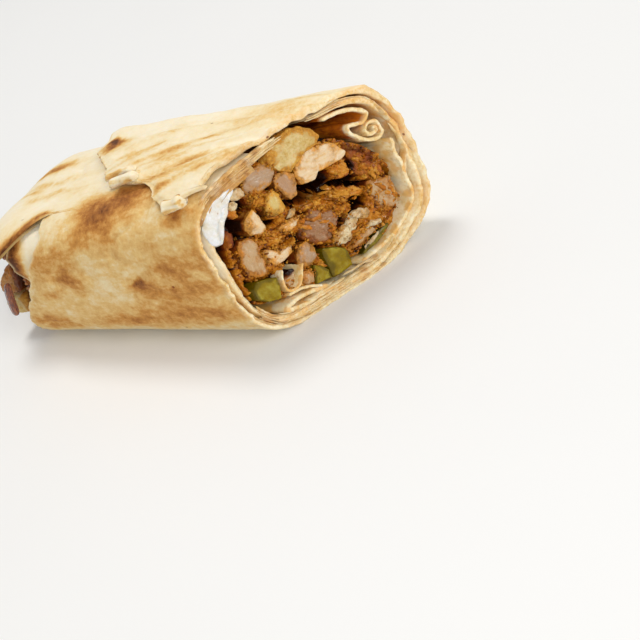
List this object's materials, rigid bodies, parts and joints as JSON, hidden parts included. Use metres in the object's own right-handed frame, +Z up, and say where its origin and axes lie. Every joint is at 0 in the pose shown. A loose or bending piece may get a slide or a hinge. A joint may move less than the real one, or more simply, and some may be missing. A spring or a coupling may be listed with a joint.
{
  "type": "chicken shawarma wrap",
  "caption": "Cut half of a toasted flatbread roll filled with roast chicken, potato, pickles and garlic sauce, with a slanting cut face and an open rolled end.",
  "frame": {"origin": "on the flat underside below the middle of the roll", "axes": "+X along the roll towards the slanting cut face, +Y towards the far, longer side of the roll, +Z up"},
  "size_m": [0.1438, 0.0643, 0.0556],
  "materials": {
    "bottom_fold": "soft and matt",
    "chicken_01": "moist",
    "chicken_02": "moist",
    "chicken_03": "moist",
    "chicken_04": "moist",
    "chicken_05": "moist",
    "chicken_06": "moist",
    "chicken_07": "moist",
    "chicken_08": "moist",
    "chicken_09": "moist",
    "chicken_10": "moist",
    "chicken_11": "moist",
    "chicken_12": "moist",
    "chicken_13": "moist",
    "chicken_14": "moist",
    "chicken_15": "moist",
    "chicken_16": "moist",
    "chicken_filling": "moist",
    "creamy_bit_01": "moist",
    "end_chicken_01": "moist",
    "end_chicken_02": "moist",
    "end_chicken_03": "moist",
    "end_chicken_04": "moist",
    "end_chicken_05": "moist",
    "end_chicken_06": "moist",
    "end_potato_01": "soft with a browned edge",
    "fat_01": "wet sheen",
    "flatbread": "toasted and matt",
    "garlic_sauce": "creamy sheen",
    "inner_fold": "soft and matt",
    "meat_strip_01": "moist",
    "onion_strip": "glossy",
    "pickle_01": "wet sheen",
    "pickle_02": "wet sheen",
    "pickle_03": "wet sheen",
    "pickle_04": "wet sheen",
    "potato_01": "soft with a browned edge",
    "roast_bit_01": "moist and browned",
    "roast_bit_02": "moist and browned",
    "roast_bit_03": "moist and browned",
    "roast_bit_04": "moist and browned",
    "roast_bit_05": "moist and browned",
    "roast_bit_06": "moist and browned",
    "side_fold": "soft and matt"
  },
  "bodies": {
    "root": {"bottom_fold": "bottom_fold", "chicken_01": "chicken_01", "chicken_02": "chicken_02", "chicken_03": "chicken_03", "chicken_04": "chicken_04", "chicken_05": "chicken_05", "chicken_06": "chicken_06", "chicken_07": "chicken_07", "chicken_08": "chicken_08", "chicken_09": "chicken_09", "chicken_10": "chicken_10", "chicken_11": "chicken_11", "chicken_12": "chicken_12", "chicken_13": "chicken_13", "chicken_14": "chicken_14", "chicken_15": "chicken_15", "chicken_16": "chicken_16", "chicken_filling": "chicken_filling", "creamy_bit_01": "creamy_bit_01", "end_chicken_01": "end_chicken_01", "end_chicken_02": "end_chicken_02", "end_chicken_03": "end_chicken_03", "end_chicken_04": "end_chicken_04", "end_chicken_05": "end_chicken_05", "end_chicken_06": "end_chicken_06", "end_potato_01": "end_potato_01", "fat_01": "fat_01", "flatbread": "flatbread", "garlic_sauce": "garlic_sauce", "inner_fold": "inner_fold", "meat_strip_01": "meat_strip_01", "onion_strip": "onion_strip", "pickle_01": "pickle_01", "pickle_02": "pickle_02", "pickle_03": "pickle_03", "pickle_04": "pickle_04", "potato_01": "potato_01", "roast_bit_01": "roast_bit_01", "roast_bit_02": "roast_bit_02", "roast_bit_03": "roast_bit_03", "roast_bit_04": "roast_bit_04", "roast_bit_05": "roast_bit_05", "roast_bit_06": "roast_bit_06", "side_fold": "side_fold"}
  },
  "joints": []
}
